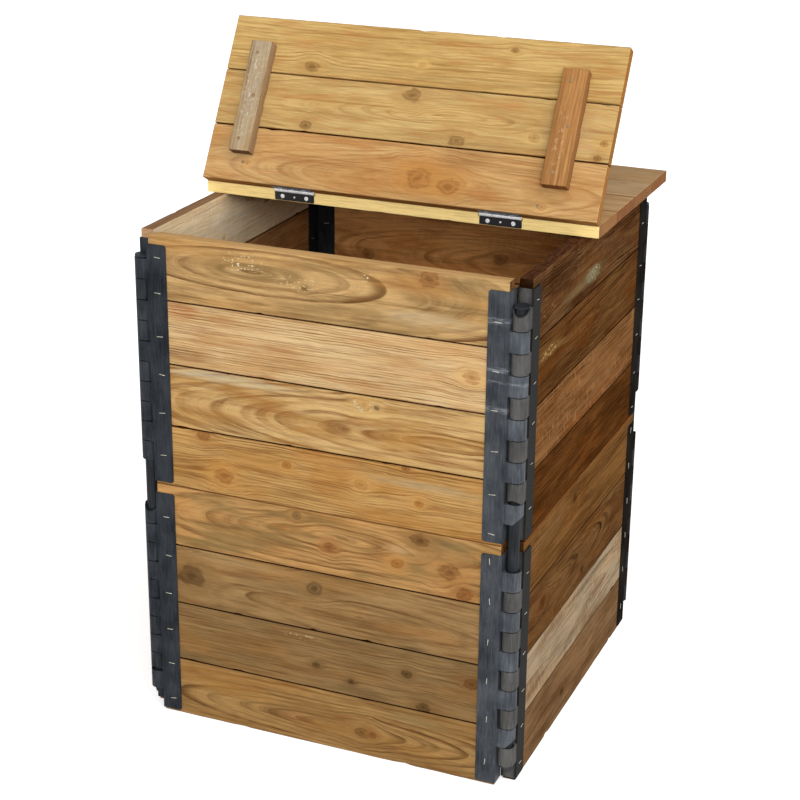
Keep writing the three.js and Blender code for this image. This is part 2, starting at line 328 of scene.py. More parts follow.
FRONT_LOOKS = {
    ("upper", 1): board_look(
        tone(188, 153, 102), tone(89, 57, 29), 11.0, (-107, 12), 0.17, 1.0, 4.0, tone(132, 105, 66), 0.4,
        edge=tone(192, 153, 102),
        knots=[(160, 38, 11, RED_KNOT), (-27, -1, 3.5, DARK_KNOT)],
        patches=[
            (-107, 12, 126, 20, tone(124, 97, 60), 0.6, "threads"),
            (-122, 25, 40, 16, tone(226, 212, 177), 0.95, "crumbs"),
            (-40, 4, 40, 16, tone(212, 194, 151), 0.7, "crumbs"),
            (68, 27, 12, 7, tone(222, 214, 181), 0.9, "specks"),
            (160, -22, 80, 16, tone(200, 177, 138), 0.5, "threads"),
            (200, 36, 60, 12, tone(110, 87, 54), 0.45, "threads")]),
    ("upper", 2): board_look(
        tone(201, 172, 126), tone(114, 68, 33), 3.9, (310, 90), 0.02, 0.95, 5.0, tone(176, 135, 85), 0.4,
        knots=[(226, 2, 9, ORANGE_KNOT)],
        patches=[
            (-225, 38, 40, 12, tone(145, 81, 41), 0.65, "threads"),
            (-215, -30, 70, 13, tone(110, 68, 33), 0.5, "threads"),
            (-150, 0, 60, 14, tone(172, 125, 70), 0.5, "threads")]),
    ("upper", 3): board_look(
        tone(189, 157, 105), tone(96, 50, 18), 7.5, (186, -7), 0.127, 1.15, 4.0, tone(160, 116, 59), 0.45,
        knots=[(64, 33, 9, PALE_KNOT), (84, 32, 3, DARK_KNOT)],
        patches=[
            (-150, 38, 110, 10, tone(183, 173, 145), 0.6, "threads"),
            (64, 33, 16, 10, tone(209, 208, 186), 0.9, "specks"),
            (106, 31, 16, 7, tone(147, 98, 46), 0.6, "threads"),
            (78, -10, 22, 10, tone(117, 70, 32), 0.6, "threads"),
            (-200, -28, 90, 16, tone(108, 67, 29), 0.5, "threads"),
            (22, -8, 26, 14, tone(109, 66, 32), 0.85, "threads"),
            (100, -8, 36, 10, tone(134, 96, 54), 0.5, "threads")]),
    ("upper", 4): board_look(
        tone(177, 139, 85), tone(94, 54, 21), 4.6, (60, 150), 0.05, 1.0, 9.0, tone(159, 112, 55), 0.4,
        knots=[(-195, 42, 8, RED_KNOT), (-161, -18, 11, ORANGE_KNOT), (-58, 17, 5, ORANGE_KNOT),
               (60, 7, 8, PALE_KNOT), (150, -5, 5, ORANGE_KNOT), (129, 45, 4, RED_KNOT)],
        patches=[
            (-222, -18, 52, 20, tone(111, 71, 31), 0.5, "threads"),
            (150, 22, 110, 9, tone(171, 157, 125), 0.4, "threads")]),
    ("lower", 1): board_look(
        tone(174, 133, 82), tone(84, 50, 23), 8.0, (30, 12), 0.15, 0.85, 6.0, tone(123, 101, 63), 0.5,
        edge=tone(187, 134, 80),
        knots=[(10, -3, 7, RED_KNOT), (153, 35, 10, DARK_KNOT), (117, -9, 7, ORANGE_KNOT),
               (200, -6, 12, BROWN_KNOT), (-43, 38, 6, GREY_KNOT), (221, -38, 9, RED_KNOT)],
        patches=[
            (175, 34, 60, 13, tone(104, 85, 57), 0.55, "threads"),
            (-200, -38, 90, 10, tone(104, 87, 53), 0.55, "threads"),
            (125, 14, 30, 12, tone(191, 156, 108), 0.5, "threads"),
            (-40, 36, 120, 8, tone(111, 93, 57), 0.4, "threads")]),
    ("lower", 2): board_look(
        tone(148, 117, 76), tone(71, 42, 20), 7.0, (62, -12), 0.11, 0.8, 6.0, tone(118, 92, 58), 0.45,
        knots=[(-15, 22, 10, GREY_KNOT), (-222, 0, 16, DARK_KNOT)],
        patches=[
            (-150, 38, 110, 9, tone(156, 128, 87), 0.5, "threads"),
            (139, -42, 34, 8, tone(74, 56, 35), 0.6, "threads"),
            (110, -16, 50, 16, tone(144, 101, 56), 0.35, "threads")]),
    ("lower", 3): board_look(
        tone(132, 104, 67), tone(65, 41, 21), 6.0, (-80, 160), 0.06, 0.7, 8.0, tone(104, 83, 54), 0.45,
        knots=[(135, 9, 6, DARK_KNOT), (-13, -9, 5, DARK_KNOT), (45, -25, 4, DARK_KNOT),
               (237, 14, 9, RED_KNOT), (162, -41, 8, DARK_KNOT)],
        patches=[
            (-40, 34, 34, 7, tone(158, 141, 101), 0.7, "specks"),
            (-225, -20, 46, 22, tone(138, 98, 52), 0.4, "threads")]),
    ("lower", 4): board_look(
        tone(152, 119, 73), tone(73, 44, 21), 6.5, (20, -8), 0.12, 0.85, 7.0, tone(124, 92, 53), 0.45,
        knots=[(63, -11, 9, BROWN_KNOT), (80, -10, 5, RED_KNOT)],
        patches=[
            (-46, -10, 34, 9, tone(113, 67, 40), 0.5, "threads"),
            (34, 8, 30, 8, tone(113, 65, 36), 0.5, "threads"),
            (-160, 12, 110, 14, tone(157, 114, 58), 0.45, "threads"),
            (150, 30, 60, 12, tone(132, 116, 79), 0.4, "threads")]),
}

RIGHT_LOOKS = {
    ("upper", 1): board_look(
        tone(107, 75, 46), tone(15, 5, 2), 5.0, (90, -70), 0.12, 1.25, 9.0, tone(67, 36, 16), 0.6, sawn=0.5,
        edge=tone(81, 50, 32), rough=0.8, warm=0.8,
        patches=[
            (-10, -24, 90, 15, tone(97, 84, 54), 0.6, "threads"),
            (4, -23, 44, 14, tone(133, 127, 96), 0.75, "threads"),
            (8, -23, 50, 16, tone(174, 170, 137), 0.9, "crumbs"),
            (-80, -26, 60, 8, tone(120, 101, 69), 0.7, "threads"),
            (-200, -18, 34, 9, tone(147, 125, 86), 0.6, "specks"),
            (0, 0, 290, 60, tone(137, 101, 66), 0.5, "streaks"),
            (-170, 20, 110, 24, tone(49, 25, 10), 0.6, "threads"),
            (120, -8, 60, 26, tone(100, 65, 37), 0.45, "threads")]),
    ("upper", 2): board_look(
        tone(105, 70, 37), tone(20, 9, 3), 4.2, (-140, 90), 0.1, 1.2, 8.0, tone(76, 41, 17), 0.6, sawn=0.5,
        warm=0.8,
        patches=[
            (-190, 16, 44, 8, tone(186, 161, 107), 0.9, "specks"),
            (-185, 16, 70, 11, tone(135, 102, 58), 0.6, "threads"),
            (0, 0, 290, 60, tone(139, 99, 57), 0.5, "streaks"),
            (-120, -30, 80, 8, tone(46, 24, 9), 0.55, "threads")]),
    ("upper", 3): board_look(
        tone(137, 95, 57), tone(31, 14, 4), 4.6, (60, 120), 0.08, 1.15, 8.0, tone(101, 62, 29), 0.5,
        sawn=1.6, warm=0.7,
        patches=[
            (60, 6, 150, 34, tone(139, 98, 57), 0.45, "threads"),
            (0, 0, 290, 60, tone(158, 115, 73), 0.5, "streaks"),
            (-190, -36, 80, 9, tone(146, 105, 60), 0.5, "threads")]),
    ("upper", 4): board_look(
        tone(100, 61, 28), tone(18, 7, 2), 4.4, (-60, -110), 0.08, 1.2, 8.0, tone(63, 36, 13), 0.6, sawn=0.3,
        warm=0.8,
        patches=[
            (150, 0, 120, 34, tone(44, 26, 9), 0.5, "threads"),
            (0, 0, 290, 60, tone(132, 86, 41), 0.45, "streaks")]),
    ("lower", 1): board_look(
        tone(126, 88, 48), tone(31, 15, 5), 5.0, (0, 120), 0.08, 1.0, 8.0, tone(96, 61, 29), 0.55, sawn=0.4,
        edge=tone(129, 73, 40),
        knots=[(-36, 20, 7, DARK_KNOT)],
        patches=[
            (-150, 18, 110, 16, tone(125, 97, 61), 0.4, "threads"),
            (60, -26, 90, 12, tone(74, 48, 22), 0.45, "threads")]),
    ("lower", 2): board_look(
        tone(116, 82, 48), tone(27, 13, 5), 5.0, (-178, 6), 0.12, 1.0, 8.0, tone(86, 54, 27), 0.55, sawn=0.4,
        knots=[(-178, 6, 9, RED_KNOT), (20, -28, 6, DARK_KNOT)],
        patches=[(-90, -6, 60, 20, tone(119, 83, 49), 0.45, "threads")]),
    ("lower", 3): board_look(
        tone(168, 147, 118), tone(49, 35, 22), 5.5, (-230, 0), 0.06, 0.6, 9.0, tone(118, 90, 64), 0.45,
        sawn=0.7,
        patches=[
            (-200, -26, 60, 12, tone(110, 70, 40), 0.5, "threads"),
            (80, 34, 160, 7, tone(81, 56, 35), 0.5, "threads")]),
    ("lower", 4): board_look(
        tone(132, 101, 69), tone(33, 19, 11), 5.5, (60, -110), 0.08, 0.7, 8.0, tone(94, 66, 40), 0.5,
        sawn=0.4,
        knots=[(-60, -10, 6, DARK_KNOT)]),
}


def plain_look(light, dark, seed, edge):
    """A board that the other sides only hint at: its heart, knots and patches are drawn by lot."""
    draw = random.Random(seed)
    shade = draw.uniform(0.86, 1.1)
    knots = [(draw.uniform(-235, 235), draw.uniform(-36, 36), draw.uniform(4, 11),
              draw.choice([RED_KNOT, DARK_KNOT, BROWN_KNOT])) for _ in range(draw.choice([1, 2, 3]))]
    heart = (draw.uniform(-200, 200), draw.choice([-110, -20, 0, 20, 130]))
    shades = (shade,) * 3
    return board_look(
        toned(light, shades), toned(dark, shades), draw.uniform(4.0, 6.5), heart, draw.uniform(0.06, 0.14),
        knots=knots, sawn=0.3, edge=edge,
        patches=[(draw.uniform(-200, 200), draw.uniform(-30, 30), draw.uniform(40, 120),
                  draw.uniform(10, 26), toned(light, (draw.choice([0.62, 0.7, 1.3]),) * 3), 0.4,
                  draw.choice(["threads", "threads", "specks"])) for _ in range(2)])


LEFT_TOP_LOOK = board_look(
    tone(222, 200, 160), tone(166, 122, 82), 5.5, (60, 100), 0.08, 0.45, 9.0, tone(214, 196, 168), 0.6,
    sawn=0.6, edge=tone(140, 108, 80),
    knots=[(-150, 20, 7, RED_KNOT), (60, -22, 5, PALE_KNOT)],
    patches=[(0, 0, 200, 26, tone(204, 190, 166), 0.6, "specks")])

# The light and dark tones of the walls whose other boards are drawn by lot. The rear's are lifted above the
# wood's own colour as painted light, since the inside of the rear wall lies in shade
PLAIN_TONES = {"left": (tone(190, 140, 88), tone(112, 72, 38)),
               "rear": (tone(220, 158, 96), tone(131, 78, 40))}

FLAP_LOOKS = [
    board_look(
        tone(196, 164, 104), tone(127, 78, 33), 5.2, (-60, 70), 0.09, 0.6, 8.0, tone(168, 130, 72), 0.4,
        edge=tone(193, 146, 87), warm=0.3, end=tone(160, 102, 48),
        knots=[(-174, -29, 9, BROWN_KNOT), (4, -11, 5, PALE_KNOT), (144, 24, 4, BROWN_KNOT)],
        patches=[
            (0, -30, 300, 9, tone(160, 126, 80), 0.45, "threads"),
            (270, 10, 50, 30, tone(167, 120, 62), 0.35, "threads")]),
    board_look(
        tone(192, 162, 106), tone(132, 83, 39), 4.4, (60, 0), 0.1, 0.5, 12.0, tone(165, 129, 78), 0.35,
        warm=0.3, end=tone(147, 95, 45),
        knots=[(-2, 29, 10, BROWN_KNOT), (-164, -33, 7, BROWN_KNOT), (81, -33, 9, BROWN_KNOT),
               (200, -17, 6, PALE_KNOT), (306, -15, 5, ORANGE_KNOT), (300, -38, 4, RED_KNOT)],
        patches=[(255, 0, 60, 36, tone(189, 166, 126), 0.45, "threads")]),
    board_look(
        tone(195, 157, 104), tone(129, 76, 34), 5.0, (60, -12), 0.12, 0.65, 10.0, tone(171, 125, 74), 0.4,
        edge=tone(167, 119, 68), warm=0.3, end=tone(161, 108, 59),
        knots=[(35, -7, 14, FLAME_KNOT), (83, -15, 11, FLAME_KNOT), (231, -29, 5, PALE_KNOT),
               (-247, -13, 4, PALE_KNOT)],
        patches=[
            (52, -6, 90, 34, tone(178, 119, 61), 0.7, "threads"),
            (100, 30, 50, 20, tone(133, 91, 50), 0.45, "threads"),
            (-265, 10, 50, 34, tone(187, 158, 115), 0.4, "threads")]),
]

REAR_LOOKS = [
    board_look(
        tone(195, 162, 113), tone(139, 93, 53), 4.5, (80, -120), 0.06, 0.55, 7.0, tone(171, 136, 96), 0.4,
        # Its edge tone is paler than the wood's own colour, with little wear: painted light on the front
        # edge, which the flap above shades
        edge=tone(255, 224, 150), rough=0.15, warm=0.3, end=tone(143, 95, 58),
        knots=[(-120, 10, 8, BROWN_KNOT), (140, -20, 6, BROWN_KNOT)]),
    board_look(
        tone(187, 155, 113), tone(132, 92, 55), 5.0, (-100, 10), 0.1, 0.5, 8.0, tone(163, 133, 96), 0.45,
        warm=0.3, end=tone(122, 71, 44),
        knots=[(30, -10, 9, BROWN_KNOT)]),
    board_look(
        tone(180, 153, 116), tone(129, 90, 57), 5.0, (120, 30), 0.1, 0.5, 8.0, tone(157, 133, 101), 0.45,
        warm=0.3, end=tone(135, 85, 50),
        knots=[(-200, 16, 8, DARK_KNOT), (210, 0, 6, BROWN_KNOT)]),
    board_look(
        tone(176, 146, 108), tone(123, 85, 51), 5.0, (-40, 120), 0.08, 0.5, 8.0, tone(153, 126, 93), 0.45,
        edge=tone(168, 124, 79), warm=0.3, end=tone(131, 81, 48),
        knots=[(60, -24, 8, BROWN_KNOT)]),
]

LEFT_BATTEN_LOOK = board_look(
    tone(164, 143, 111), tone(99, 73, 46), 5.0, (0, -90), 0.05, 0.5, 5.0, tone(175, 162, 138), 0.7, sawn=0.6,
    edge=tone(160, 132, 98), end=tone(100, 72, 45),
    patches=[
        (0, 0, 120, 14, tone(172, 160, 138), 0.55, "threads"),
        (20, 2, 90, 12, tone(196, 188, 170), 0.6, "specks")])
RIGHT_BATTEN_LOOK = board_look(
    tone(175, 127, 77), tone(108, 73, 41), 5.0, (20, -60), 0.08, 0.75, 5.0, tone(153, 106, 61), 0.5,
    sawn=0.2, edge=tone(150, 108, 66), end=tone(130, 86, 50),
    patches=[(-20, 4, 60, 14, tone(193, 161, 127), 0.5, "specks")])


# Materials
def soft_spot(finish, along, across, waver, spot):
    """1 in the middle of an oval patch, 0 outside it, with a wandering edge."""
    s, t, half_s, half_t = spot
    return (finish.distance((along - s) / half_s, (across - t) / half_t) + waver).rise(1.15, 0.35)


def wood(name, home, look, seed, width, open_top=False):
    """Sawn softwood. Its nodes work in millimetres. An open top edge is spared the grime and painted shade
    of a seam.
    """
    finish = new_finish(name)
    spot = finish.stretched(finish.place(home), (1000.0,) * 3, (0.0,) * 3)
    along, across, out = finish.parts(spot)

    def field(long, wide, detail=2.0, roughness=0.5, lot=0):
        """Noise with features of this length along the grain and this width across it."""
        shift = (seed * 3.17 + lot * 11.3, seed * 5.71 + lot * 7.9, seed * 1.93 + lot * 5.1)
        return finish.pattern(spot, (1 / long, 1 / wide, 1 / wide), shift, detail, roughness)

    def facing(direction):
        """1 where the surface faces along this direction of the board, either way."""
        turned = finish.node("VectorMath", {"operation": "DOT_PRODUCT"}, {
            0: finish.node("TexCoord", {}, {}, "Normal"), 1: home.to_3x3() @ Vector(direction)}, "Value")
        return abs(turned).rise(0.6, 0.88)

    def coated(colour, *coats):
        """The colour with others over it, each given as where it covers and what it is."""
        for mask, coat in coats:
            colour = finish.mix(mask, colour, coat)
        return colour

    # Growth rings round a leaning heart, pushed aside by the knots
    wobble = (field(16, 12, 2.0, 0.5) - 0.5) * 1.3
    bent = across + (field(380, 110) - 0.5) * (look.sway * 2) + (field(55, 13, 3.0) - 0.5) * 4.5
    knots = []
    for s, t, radius, tones in look.knots:
        reach = finish.distance((along - s) * 0.75, across - t) / radius + wobble
        bent = bent - (bent - t) * (reach * reach * -0.16).exponential() * 0.92
        knots.append((reach, radius, tones))
    lean = (along - look.heart[0]) * look.slope - out
    off_heart = bent - look.heart[1]
    count = (off_heart * off_heart + lean * lean).power(0.5) / look.ring
    count = count + finish.noise(finish.joined(count * 0.3, seed * 1.7, along / 400), 1.0) * 1.5
    band = count.fraction()
    each = finish.node("TexWhiteNoise", {"noise_dimensions": "1D"}, {"W": count.whole() + seed * 7.3})
    fading = finish.noise(finish.joined(along / 130, count * 0.5, seed * 0.7), 2.0)
    late = band.rise(0.35, 0.9) * band.rise(1.0, 0.92) * (each * 0.8 + 0.2) * fading.rise(0.22, 0.55)
    thread = finish.noise(finish.joined(along / 120, count * 1.6, seed * 2.3), 4.0, 0.68)

    # Fibres, streaks, stains and patches
    fibre = field(30, 1.3, 3.0, 0.6)
    streak = field(210, 5.0, 4.0, 0.62)
    cloud = field(150, 30, 4.0, 0.62)
    flush = field(230, 55, 3.0, 0.55, 1)
    fleck = field(5, 1.8, 2.0, 0.7, 2)
    speck = field(7, 4.5, 1.0, 0.5, 3)
    tide = field(95, 17, 3.0, 0.55, 4)
    paler = toned(look.light, (1.24, 1.2, 1.24))
    colour = coated(
        look.light,
        (late * look.contrast, look.dark),
        (thread.rise(0.47, 0.72) * 0.72 * look.contrast, look.dark),
        (thread.rise(0.48, 0.28) * 0.38, paler),
        (cloud.rise(0.44, 0.64) * min(1.0, look.stain_share * 1.4), look.stain),
        (cloud.rise(0.44, 0.3) * 0.3, paler),
        (flush.rise(0.48, 0.7) * look.warm, toned(look.light, (0.92, 0.72, 0.5))),
        (streak.rise(0.51, 0.72) * 0.42, look.dark),
        (streak.rise(0.45, 0.28) * 0.3, paler),
        (tide.rise(0.5, 0.7) * 0.3, toned(look.dark, (1.7, 1.3, 1.0))),
        (tide.rise(0.46, 0.3) * 0.25, paler))
    waver = (cloud - 0.5) * 0.9 + (streak - 0.5) * 0.8
    covers = {"threads": thread.rise(0.34, 0.58) * 0.75 + 0.25, "specks": speck.rise(0.56, 0.66),
              "crumbs": field(4.5, 3.2, 1.0, 0.5, 5).rise(0.62, 0.69),
              "streaks": tide.rise(0.5, 0.64) * thread.rise(0.35, 0.6)}

    def patched(colour, over_knots):
        """The colour with patches on it. Threads and streaks lie under the knots, the others over them."""
        for *place, patch_colour, strength, cover in look.patches:
            if (cover in ("specks", "crumbs")) == over_knots:
                mask = soft_spot(finish, along, across, waver, place) * strength * covers[cover]
                colour = finish.mix(mask, colour, patch_colour)
        return colour

    colour = patched(colour, False)
    height = late * 0.16 + thread * 0.22 + fibre * 0.16 + streak * 0.2

    # Knots: a stained surround, then rings, a dark middle and a broken rim
    for reach, radius, tones in knots:
        knot_tone, rim_tone, round_tone = (toned(look.light, shares) for shares in tones)
        stained = (reach + (streak - 0.5) * 2.6 + (thread - 0.5) * 1.8).rise(3.2, 0.9) * 0.6
        rings = (reach * (radius / 2.6) + cloud * 3).fraction().rise(0.1, 1.0) * 0.45
        inside = reach.rise(1.25, 0.5)
        middle = (reach + (streak - 0.5) * 0.8).rise(0.65, 0.1) * 0.85
        rim = abs(reach - 0.9).rise(0.36, 0.0) * streak.rise(0.3, 0.55)
        core = coated(knot_tone, (rings, rim_tone), (middle, rim_tone))
        colour = coated(colour, (stained, round_tone), (inside * 0.72, core), (rim * 0.4, rim_tone))
        height = height + inside * 0.25 - rim * 0.35

    colour = patched(colour, True)

    # Saw marks across the grain
    if look.sawn:
        slant = finish.joined((along + across * 0.3) / 5.5, across / 26, out / 26 + seed)
        marks = finish.noise(slant, 2.0, 0.6)
        pale_marks = marks.rise(0.54, 0.7) * flush.rise(0.35, 0.6) * 0.5 * look.sawn
        colour = finish.mix(pale_marks, colour, toned(look.light, (1.5, 1.6, 1.8)))
        height = height + marks * 0.3 * look.sawn

    # Grime and painted shade along the long edges in the seams, then the colours of the edges and ends
    on_edge = facing((0, 1, 0))
    margin = (width / MM / 2 + across) if open_top else (width / MM / 2 - abs(across))
    seam_grime_and_shade = (margin + (streak - 0.5) * 3).rise(1.5, 0.4) * (1.0 - on_edge) * look.seam_grime_and_shade
    top = finish.mix(streak.rise(0.44, 0.66) * look.rough, look.edge, toned(look.edge, (0.5, 0.42, 0.36)))
    if look.rough > 0.5:
        top = coated(
            top,
            (fleck.rise(0.52, 0.62) * 0.45, toned(look.edge, (2.2, 2.6, 2.6))),
            (speck.rise(0.5, 0.6) * 0.6, toned(look.edge, (0.3, 0.26, 0.24))))
    end_grain = finish.mix(late, look.end, toned(look.end, (0.5,) * 3))
    colour = coated(
        colour,
        (seam_grime_and_shade, toned(look.dark, (0.3, 0.24, 0.2))),
        (on_edge, top),
        (facing((1, 0, 0)) * 0.8, end_grain),
        (fleck.rise(0.68, 0.76) * 0.4, toned(look.dark, (0.5, 0.45, 0.4))))
    colour = finish.mix(1.0, colour, finish.grey((fibre - 0.5) * 0.7 + 1.0), "MULTIPLY")
    roughness = 0.64 + late * 0.1 + (cloud - 0.5) * 0.2
    return finish.close(finish.surface(colour, roughness, 0.0, finish.bump(height, 0.9, MM)))


def moulded_plastic(name, base, worn, gloss, scuffs=(), pin=None, sheen_gain=1.0):
    """Dark moulded plastic with a dull grain and faint flow marks.

    A scuff is its height and half its height in millimetres, and its strength. Round a pin the knuckles
    carry a painted highlight that makes them brighter by gain, and painted shade darkens the gaps where the
    knuckles hide it.
    """
    finish = new_finish(name)
    place = finish.place(IN_PLACE)
    cloud = finish.pattern(place, (26, 26, 15), detail=4.0, roughness=0.65)
    grain = finish.pattern(place, (2200, 2200, 2200))
    flow = finish.pattern(place, (420, 420, 34), (2, 4, 9), 3.0, 0.65)
    scratch = finish.pattern(place, (60, 60, 900), (3, 1, 7), 3.0, 0.7)
    wear = finish.pattern(place, (24, 24, 70), (5, 2, 1), 4.0, 0.7)
    colour = finish.mix(cloud.rise(0.3, 0.7) * 0.6 + flow.rise(0.4, 0.7) * 0.35, base, worn)
    scratches = scratch.rise(0.64, 0.8) * wear.rise(0.46, 0.68) * 0.6
    colour = finish.mix(scratches, colour, toned(worn, (2.2,) * 3))
    x, y, z = finish.parts(place)
    for height, half_height, strength in scuffs:
        band = abs(z - height * MM + (wear - 0.5) * SCUFF_SWAY).rise(half_height * MM, 0.0)
        colour = finish.mix(band * scratch.rise(0.42, 0.62) * strength, colour, tone(168, 170, 176))
    # Painted light round the pin: a painted highlight on the knuckles, and painted shade in the gaps between
    # them
    if pin:
        off_pin = finish.distance(x - pin[0] * PIN_PLACE, y - pin[1] * PIN_PLACE)
        painted_sheen = off_pin.rise(*PAINTED_SHEEN_BAND) * (sheen_gain - 1.0) + 1.0
        painted_shade = off_pin.rise(*PAINTED_SHADE_BAND) * 0.75
        colour = finish.mix(1.0, colour, finish.grey(painted_sheen * (1.0 - painted_shade)), "MULTIPLY")
    roughness = 0.46 + (cloud - 0.5) * 0.25 + scratch.rise(0.6, 0.8) * 0.15
    normal = finish.bump(grain * 0.5 + wear, 0.3, 0.4 * MM)
    return finish.close(finish.surface(colour, roughness, gloss, normal))


def zinc_steel(name, colour, roughness, metallic=1.0):
    """Dull zinc with faint spangles, brushed along X."""
    finish = new_finish(name)
    place = finish.place(IN_PLACE)
    spangle = finish.pattern(place, (320, 320, 320), detail=3.0, roughness=0.6)
    brushed = finish.pattern(place, (60, 1500, 1500))
    tint = finish.mix(spangle.rise(0.35, 0.7) * 0.55, colour, toned(colour, (0.5,) * 3))
    roughness = roughness + (spangle - 0.5) * 0.25
    normal = finish.bump(brushed, 0.15, 0.1 * MM)
    return finish.close(finish.surface(tint, roughness, 0.5, normal, metallic))


def pale_ground():
    """An almost white floor, which glows in the rays that show it so as to match the world behind it."""
    finish = new_finish("pale_ground")
    speck = finish.pattern(finish.place(Matrix.Identity(4)), (9, 9, 9))
    tint = finish.mix(speck, (0.93, 0.93, 0.93, 1.0), (0.95, 0.95, 0.95, 1.0))
    return finish.close(finish.surface(tint, 0.9, 0.2, glow=finish.grey(finish.seen() * GROUND_GLOW)))


# Making pieces
def add_piece(name, bm, material, body, replaced=(), smooth_below=40):
    """A piece from a bmesh. Edges of fewer degrees than smooth_below are shaded smooth."""
    mesh = bpy.data.meshes.new(name)
    bm.to_mesh(mesh)
    bm.free()
    mesh.shade_smooth()
    mesh.set_sharp_from_angle(angle=math.radians(smooth_below))
    for finished in material if isinstance(material, list) else [material]:
        mesh.materials.append(finished)
    piece = bpy.data.objects.new(name, mesh)
    bpy.context.scene.collection.objects.link(piece)
    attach(piece, body)
    if replaced:
        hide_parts(*replaced)
    return piece


def round_edges(piece, width, segments=2, limit=40):
    bevel = piece.modifiers.new("rounded edges", "BEVEL")
    bevel.width = width
    bevel.segments = segments
    bevel.limit_method = "ANGLE"
    bevel.angle_limit = math.radians(limit)


def plank_mesh(home, length, width, thickness, seed, ease, wear, chips=3, step=9 * MM, let_in=None,
               top_only=False):
    """A board with rounded and worn long edges, its face at height 0 of its own frame.

    top_only keeps the dents and the heavy wear to the upper edge.
    let_in gives the side, -1 or 1, and the stretches where an edge of the face is cut away for a hinge.
    """
    bm = bmesh.new()
    bmesh.ops.create_cube(bm, size=1)
    bmesh.ops.scale(bm, vec=(length, width, thickness), verts=bm.verts)

    def long_edges():
        return [edge for edge in bm.edges if edge.calc_length() > length * 0.99]

    bmesh.ops.bevel(bm, geom=long_edges(), offset=ease, segments=3, profile=0.5, affect="EDGES", material=-1)
    bmesh.ops.subdivide_edges(bm, edges=long_edges(), cuts=round(length / step), use_grid_fill=True)
    if let_in:
        side, stretches = let_in
        cuts = [((0, side * (width / 2 - LET_IN), 0), (0, 1, 0)),
                ((0, 0, thickness / 2 - LET_IN), (0, 0, 1))]
        cuts += [((x, 0, 0), (1, 0, 0)) for low, high in stretches for x in (low - MM, low, high, high + MM)]
        for place, direction in cuts:
            everything = list(bm.verts) + list(bm.edges) + list(bm.faces)
            bmesh.ops.bisect_plane(bm, geom=everything, plane_co=place, plane_no=direction, dist=0.001 * MM)
    draw = random.Random(seed)
    dents = [(draw.uniform(-length, length) / 2, draw.choice([-1, 1]), draw.uniform(3, 9) * MM,
              draw.uniform(0.6, 1.8) * MM) for _ in range(chips)]
    for vert in bm.verts:
        x, y, z = vert.co
        if abs(y) < width / 2 - ease * 1.1 or abs(z) < thickness / 2 - ease * 1.1:
            continue
        side = math.copysign(1, y)
        corner = Vector((x * 30, side * 5 + math.copysign(2, z), seed))
        worn = min(wear, 0.3 * MM) if top_only and side < 0 else wear
        loss = worn * (0.5 + noise.noise(corner)) + worn * 0.5 * abs(noise.noise(corner * 4.1))
        for centre, dent_side, reach, depth in dents:
            if side == (1 if top_only else dent_side):
                loss += depth * math.exp(-((x - centre) / reach) ** 2)
        vert.co.y -= side * max(0.0, loss)
        vert.co.z -= math.copysign(max(0.0, loss), z) * 0.6
        if let_in and y * let_in[0] > 0 and z > 0 and any(low <= x <= high for low, high in let_in[1]):
            vert.co.y -= side * LET_IN / 2
            vert.co.z -= LET_IN / 2
    bmesh.ops.translate(bm, vec=(0, 0, -thickness / 2), verts=bm.verts)
    bm.transform(home)
    return bm


def screw_head(bm, home, radius):
    """A low round head with a cross recess, on height 0 of its own frame."""
    made = bmesh.ops.create_grid(bm, x_segments=5, y_segments=5, size=1)["verts"]
    faces = list({face for vert in made for face in vert.link_faces})
    cross = []
    for face in faces:
        x, y, _ = face.calc_center_median()
        if min(abs(x), abs(y)) < 0.1 and max(abs(x), abs(y)) < 0.5:
            cross.append(face)
    rim = [edge for edge in {edge for face in faces for edge in face.edges} if edge.is_boundary]
    sunk = bmesh.ops.extrude_edge_only(bm, edges=rim)["geom"]
    skirt = [item for item in sunk if isinstance(item, bmesh.types.BMVert)]
    recess = bmesh.ops.extrude_face_region(bm, geom=cross)["geom"]
    floor = [item for item in recess if isinstance(item, bmesh.types.BMVert)]
    kept = [vert for face in faces if face.is_valid for vert in face.verts]
    head = list(set(kept + skirt + floor + [vert for vert in made if vert.is_valid]))
    for vert in head:
        x, y, _ = vert.co
        dome = (1 - x * x) * (1 - y * y)
        vert.co = (x * math.sqrt(1 - y * y / 2) * radius, y * math.sqrt(1 - x * x / 2) * radius,
                   HEAD_EDGE + HEAD_DOME * dome)
    for vert in skirt:
        vert.co.z = HEAD_FOOT
    for vert in floor:
        vert.co.z = RECESS_FLOOR
    base = [item for item in sunk if isinstance(item, bmesh.types.BMEdge) and item.is_boundary]
    bmesh.ops.contextual_create(bm, geom=base)
    bmesh.ops.transform(bm, matrix=home, verts=head)


def finer(bm, centre, along, radius):
    """Splits the facets round an axis and moves the new points out to the circle."""
    slack = 0.06 * MM
    lowest = radius * math.cos(math.pi / ROUND_SIDES) - slack

    def outward(vert):
        arm = vert.co - centre
        return arm - along * arm.dot(along)

    facets = [edge for edge in bm.edges
              if all(lowest < outward(vert).length < radius + slack for vert in edge.verts)
              and abs((edge.verts[1].co - edge.verts[0].co).normalized().dot(along)) < 0.95]
    made = bmesh.ops.subdivide_edges(bm, edges=facets, cuts=3, use_grid_fill=True)
    for vert in made["geom_inner"]:
        if isinstance(vert, bmesh.types.BMVert):
            arm = outward(vert)
            vert.co += arm * (radius / arm.length - 1)


def merged_copy(node):
    """A CAD node's mesh with its loose triangles joined."""
    bm = bmesh.new()
    bm.from_mesh(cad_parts[node].data)
    bmesh.ops.remove_doubles(bm, verts=bm.verts, dist=0.002 * MM)
    bmesh.ops.dissolve_limit(bm, angle_limit=math.radians(0.5), verts=bm.verts, edges=bm.edges)
    return bm


# Walls
def wall_home(quarter, x, y, z):
    """The frame of something on the outside of a wall, seen square from outside."""
    return IN_PLACE @ Matrix.Rotation(quarter * QUARTER_TURN, 4, "Z") @ Matrix.Translation((x, y, z)) @ (
        Matrix.Rotation(QUARTER_TURN, 4, "X"))


